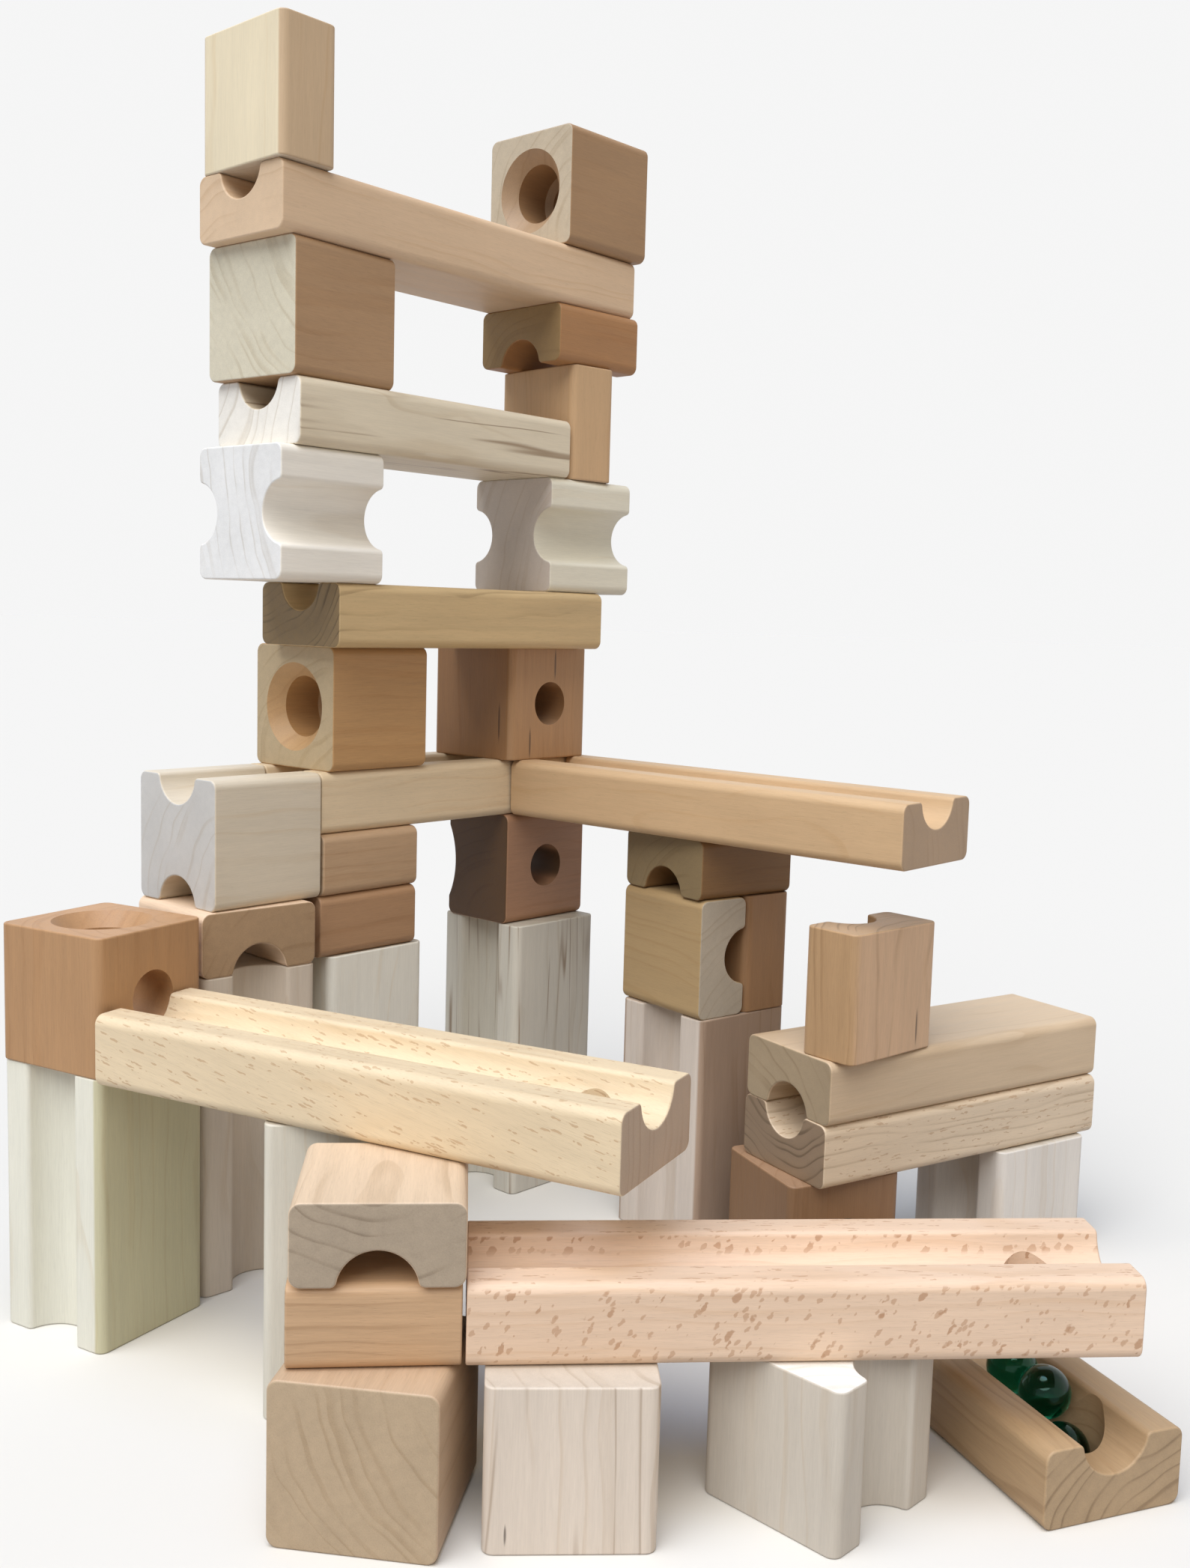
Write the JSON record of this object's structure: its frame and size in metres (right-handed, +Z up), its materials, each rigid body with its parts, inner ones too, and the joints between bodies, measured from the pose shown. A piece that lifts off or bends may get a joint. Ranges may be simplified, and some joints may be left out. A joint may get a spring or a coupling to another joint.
{
  "type": "marble run",
  "caption": "Free-standing wooden marble run: a hand-stacked tower of unit blocks, grooved rails, bridges and funnel cubes, ending in a tray that holds glass marbles.",
  "frame": {"origin": "middle of the footprint at floor level", "axes": "+Z up; the main tower is square to X and Y, its rails running along X, with the near column towards -X and the catch tray towards -Y"},
  "size_m": [0.3756, 0.3618, 0.456],
  "materials": {
    "pale_maple": "sanded, unvarnished, satin",
    "grey_maple": "sanded, unvarnished, satin",
    "tan_beech": "sanded, unvarnished, satin",
    "honey_beech": "sanded, unvarnished, satin",
    "flecked_beech": "sanded, unvarnished, satin",
    "red_alder": "sanded, unvarnished, satin",
    "green_glass": "polished transparent"
  },
  "bodies": {
    "root": {"landing_pillar": "pale_maple", "landing_half_lower": "red_alder", "landing_half_upper": "tan_beech", "rail_4_landing": "honey_beech", "tipped_funnel_lower": "red_alder", "far_pillar": "grey_maple", "bored_cube": "red_alder", "tower_funnel": "red_alder", "rail_3_middle": "honey_beech", "h_block_near": "pale_maple", "h_block_far": "pale_maple", "rail_2_upper": "pale_maple", "slim_post": "tan_beech", "tower_cube": "tan_beech", "tower_bridge": "red_alder", "gate_pillar": "pale_maple", "gate_bridge": "red_alder", "side_pillar": "grey_maple", "side_grooved_half": "honey_beech", "side_plain_half": "red_alder", "side_bridge": "honey_beech", "rail_5_side": "honey_beech", "corner_pillar": "pale_maple", "rail_6_pillar": "pale_maple", "front_cube": "red_alder", "front_half": "red_alder", "front_bridge": "grey_maple", "rail_7_low": "flecked_beech", "low_prop_cube": "pale_maple", "low_prop_grooved": "pale_maple", "tunnel_funnel": "red_alder", "tunnel_block": "pale_maple", "rail_10_tunnel_floor": "tan_beech", "rail_9_tunnel_cover": "pale_maple", "chute_half": "red_alder", "rail_8_tray": "honey_beech", "marble_1": "green_glass"},
    "crown": {"crown_block": "pale_maple"},
    "top_funnel": {"tipped_funnel_top": "tan_beech"},
    "top_rail": {"rail_1_top": "tan_beech"},
    "front_rail": {"rail_6_front": "flecked_beech"},
    "corner_funnel_body": {"corner_funnel": "red_alder"},
    "gate_cube": {"double_groove_cube": "grey_maple"},
    "middle_marble": {"marble_2": "green_glass"},
    "back_marble": {"marble_3": "green_glass"}
  },
  "joints": [
    {"name": "top_rail_lift", "type": "slide", "parent": "root", "child": "top_rail", "axis": [0, 0, 1], "range_m": [0, 0.096]},
    {"name": "crown_lift", "type": "slide", "parent": "top_rail", "child": "crown", "axis": [0, 0, 1], "range_m": [0, 0.096]},
    {"name": "top_funnel_lift", "type": "slide", "parent": "top_rail", "child": "top_funnel", "axis": [0, 0, 1], "range_m": [0, 0.096]},
    {"name": "front_rail_lift", "type": "slide", "parent": "root", "child": "front_rail", "axis": [0, 0, 1], "range_m": [0, 0.096]},
    {"name": "corner_funnel_lift", "type": "slide", "parent": "root", "child": "corner_funnel_body", "axis": [0, 0, 1], "range_m": [0, 0.096]},
    {"name": "gate_cube_lift", "type": "slide", "parent": "root", "child": "gate_cube", "axis": [0, 0, 1], "range_m": [0, 0.047]},
    {"name": "back_marble_roll", "type": "slide", "parent": "root", "child": "back_marble", "axis": [-0.4648, -0.8854, 0], "range_m": [-0.08, 0]},
    {"name": "middle_marble_roll", "type": "slide", "parent": "root", "child": "middle_marble", "axis": [-0.4648, -0.8854, 0], "range_m": [-0.08, 0]}
  ],
  "couplings": [
    {"joint": "middle_marble_roll", "follows": "back_marble_roll", "ratio": 1}
  ]
}
